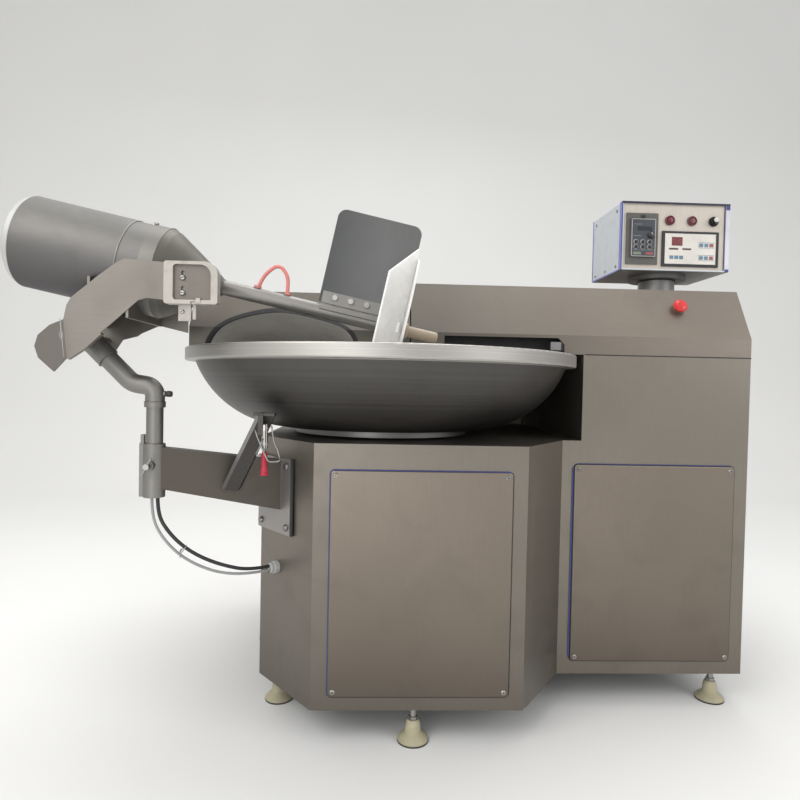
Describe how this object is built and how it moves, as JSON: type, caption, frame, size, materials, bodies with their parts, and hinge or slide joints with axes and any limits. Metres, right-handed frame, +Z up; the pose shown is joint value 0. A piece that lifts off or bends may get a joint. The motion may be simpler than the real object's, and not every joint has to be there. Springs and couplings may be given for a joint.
{
  "type": "bowl cutter for meat",
  "caption": "Floor standing bowl cutter for frozen meat with a rotating trough bowl, covered sickle knives, disc unloader arm and swivelling control box.",
  "frame": {"origin": "point on the floor under the middle of the machine's outer box, cords left out of no side", "axes": "+X to the machine's right as the operator faces it, +Y to the back, +Z up"},
  "size_m": [1.9646, 1.269, 1.481],
  "materials": {
    "stainless": "brushed stainless sheet",
    "bowl_steel": "turned stainless with fine rings",
    "polished_steel": "ground and polished",
    "white_polymer": "smooth food grade polymer",
    "loop_polymer": "coated loop",
    "red_plastic": "glossy red plastic",
    "black_plastic": "satin black plastic",
    "cream_plastic": "moulded cream plastic",
    "grey_plastic": "moulded grey plastic",
    "black_rubber": "matt black rubber",
    "grey_rubber": "grey cable sheath",
    "cast_metal": "painted castings"
  },
  "bodies": {
    "machine": {"base_frame": "stainless", "pedestal_shell": "stainless", "cabinet_shell": "stainless", "rear_housing": "stainless", "shaft_hood": "stainless", "hood_flap": "black_rubber", "bowl_wiper": "black_rubber", "front_panel": "stainless", "cabinet_panel": "stainless", "side_panels": "stainless", "fixing_screws": "polished_steel", "foot_pads": "cream_plastic", "foot_stems": "polished_steel", "bearing_housing": "cast_metal", "bearings": "polished_steel", "bowl_gearmotor": "cast_metal", "knife_motor": "cast_metal", "v_belts": "black_rubber", "spindle_housing": "cast_metal", "hinge_pins": "polished_steel", "support_beam": "stainless", "column_sleeve": "stainless", "latch_strut": "stainless", "control_post": "stainless", "cable_gland": "grey_plastic", "black_cable": "black_rubber", "grey_cable": "grey_rubber"},
    "bowl_body": {"bowl": "bowl_steel", "hub_cap": "polished_steel", "turntable": "polished_steel"},
    "knife_body": {"knife_shaft": "polished_steel", "knife_blades": "polished_steel", "knife_clamps": "polished_steel", "shaft_pulley": "cast_metal"},
    "motor_body": {"motor_pulley": "cast_metal"},
    "lid": {"lid_shell": "stainless", "arch_seal": "black_rubber", "tunnel_roof": "stainless"},
    "column": {"column_tube": "stainless"},
    "elbow": {"elbow_arm": "stainless", "tilt_pin": "polished_steel"},
    "unloader": {"arm_shell": "stainless", "mount_box": "stainless", "unloader_bolts": "polished_steel", "unloader_motor": "stainless", "reducer_cone": "stainless", "unloader_pipe": "stainless", "baffle_plate": "stainless", "scraper_wing": "white_polymer", "lift_loop": "loop_polymer"},
    "disc": {"discharge_disc": "white_polymer", "disc_shaft": "polished_steel"},
    "control_head": {"control_box": "stainless", "control_panels": "black_plastic"},
    "start": {"start_button": "red_plastic"},
    "stop": {"stop_button": "red_plastic"},
    "selector": {"selector_knob": "black_plastic"},
    "estop": {"estop_button": "red_plastic"},
    "column_clamp": {"clamp_screw": "polished_steel"},
    "knob": {"knob_screw": "black_plastic"},
    "toggle": {"clamp_handle": "polished_steel"}
  },
  "joints": [
    {"name": "bowl_spin", "type": "hinge", "parent": "machine", "child": "bowl_body", "pos_m": [-0.08373, -0.06551, 0.8], "axis": [0, 0, 1], "continuous": true},
    {"name": "knife_spin", "type": "hinge", "parent": "machine", "child": "knife_body", "pos_m": [-0.08373, 0.21449, 1.069], "axis": [1, 0, 0], "continuous": true},
    {"name": "motor_spin", "type": "hinge", "parent": "machine", "child": "motor_body", "pos_m": [0.86627, 0.21449, 0.335], "axis": [1, 0, 0], "continuous": true},
    {"name": "lid_hinge", "type": "hinge", "parent": "machine", "child": "lid", "pos_m": [-0.24873, 0.54849, 1.05], "axis": [-1, 0, 0], "range_deg": [0, 65]},
    {"name": "column_lift", "type": "slide", "parent": "machine", "child": "column", "axis": [0, 0, 1], "range_m": [0, 0.06]},
    {"name": "column_swing", "type": "hinge", "parent": "column", "child": "elbow", "pos_m": [-0.64173, -0.41951, 0.87], "axis": [0, 0, 1], "range_deg": [-0.5, 0.5]},
    {"name": "unloader_tilt", "type": "hinge", "parent": "elbow", "child": "unloader", "pos_m": [-0.80373, -0.41951, 1.013], "axis": [0, -1, 0], "range_deg": [0, 45]},
    {"name": "disc_spin", "type": "hinge", "parent": "unloader", "child": "disc", "pos_m": [-0.03173, -0.41951, 1.049], "axis": [0.9781, 0, -0.2079], "continuous": true},
    {"name": "box_swivel", "type": "hinge", "parent": "machine", "child": "control_head", "pos_m": [0.79277, 0.01949, 1.275], "axis": [0, 0, 1], "range_deg": [-30, 30]},
    {"name": "start_press", "type": "slide", "parent": "control_head", "child": "start", "axis": [0, 1, 0], "range_m": [0, 0.003], "stiffness_N_per_m": 400},
    {"name": "stop_press", "type": "slide", "parent": "control_head", "child": "stop", "axis": [0, 1, 0], "range_m": [0, 0.003], "stiffness_N_per_m": 400},
    {"name": "selector_turn", "type": "hinge", "parent": "control_head", "child": "selector", "pos_m": [0.90927, -0.10051, 1.427], "axis": [0, 1, 0], "range_deg": [-45, 45]},
    {"name": "estop_press", "type": "slide", "parent": "machine", "child": "estop", "axis": [0, 0.8697, -0.4936], "range_m": [0, 0.004], "stiffness_N_per_m": 800},
    {"name": "clamp_turn", "type": "hinge", "parent": "machine", "child": "column_clamp", "pos_m": [-0.64173, -0.49551, 0.708], "axis": [0, 1, 0], "range_deg": [-90, 90]},
    {"name": "knob_turn", "type": "hinge", "parent": "elbow", "child": "knob", "pos_m": [-0.60373, -0.41951, 0.881], "axis": [1, 0, 0], "range_deg": [-180, 180]},
    {"name": "toggle_swing", "type": "hinge", "parent": "machine", "child": "toggle", "pos_m": [-0.36673, -0.47751, 0.806], "axis": [-1, 0, 0], "range_deg": [0, 100]}
  ],
  "couplings": [
    {"joint": "motor_spin", "follows": "knife_spin", "ratio": 0.8145}
  ]
}
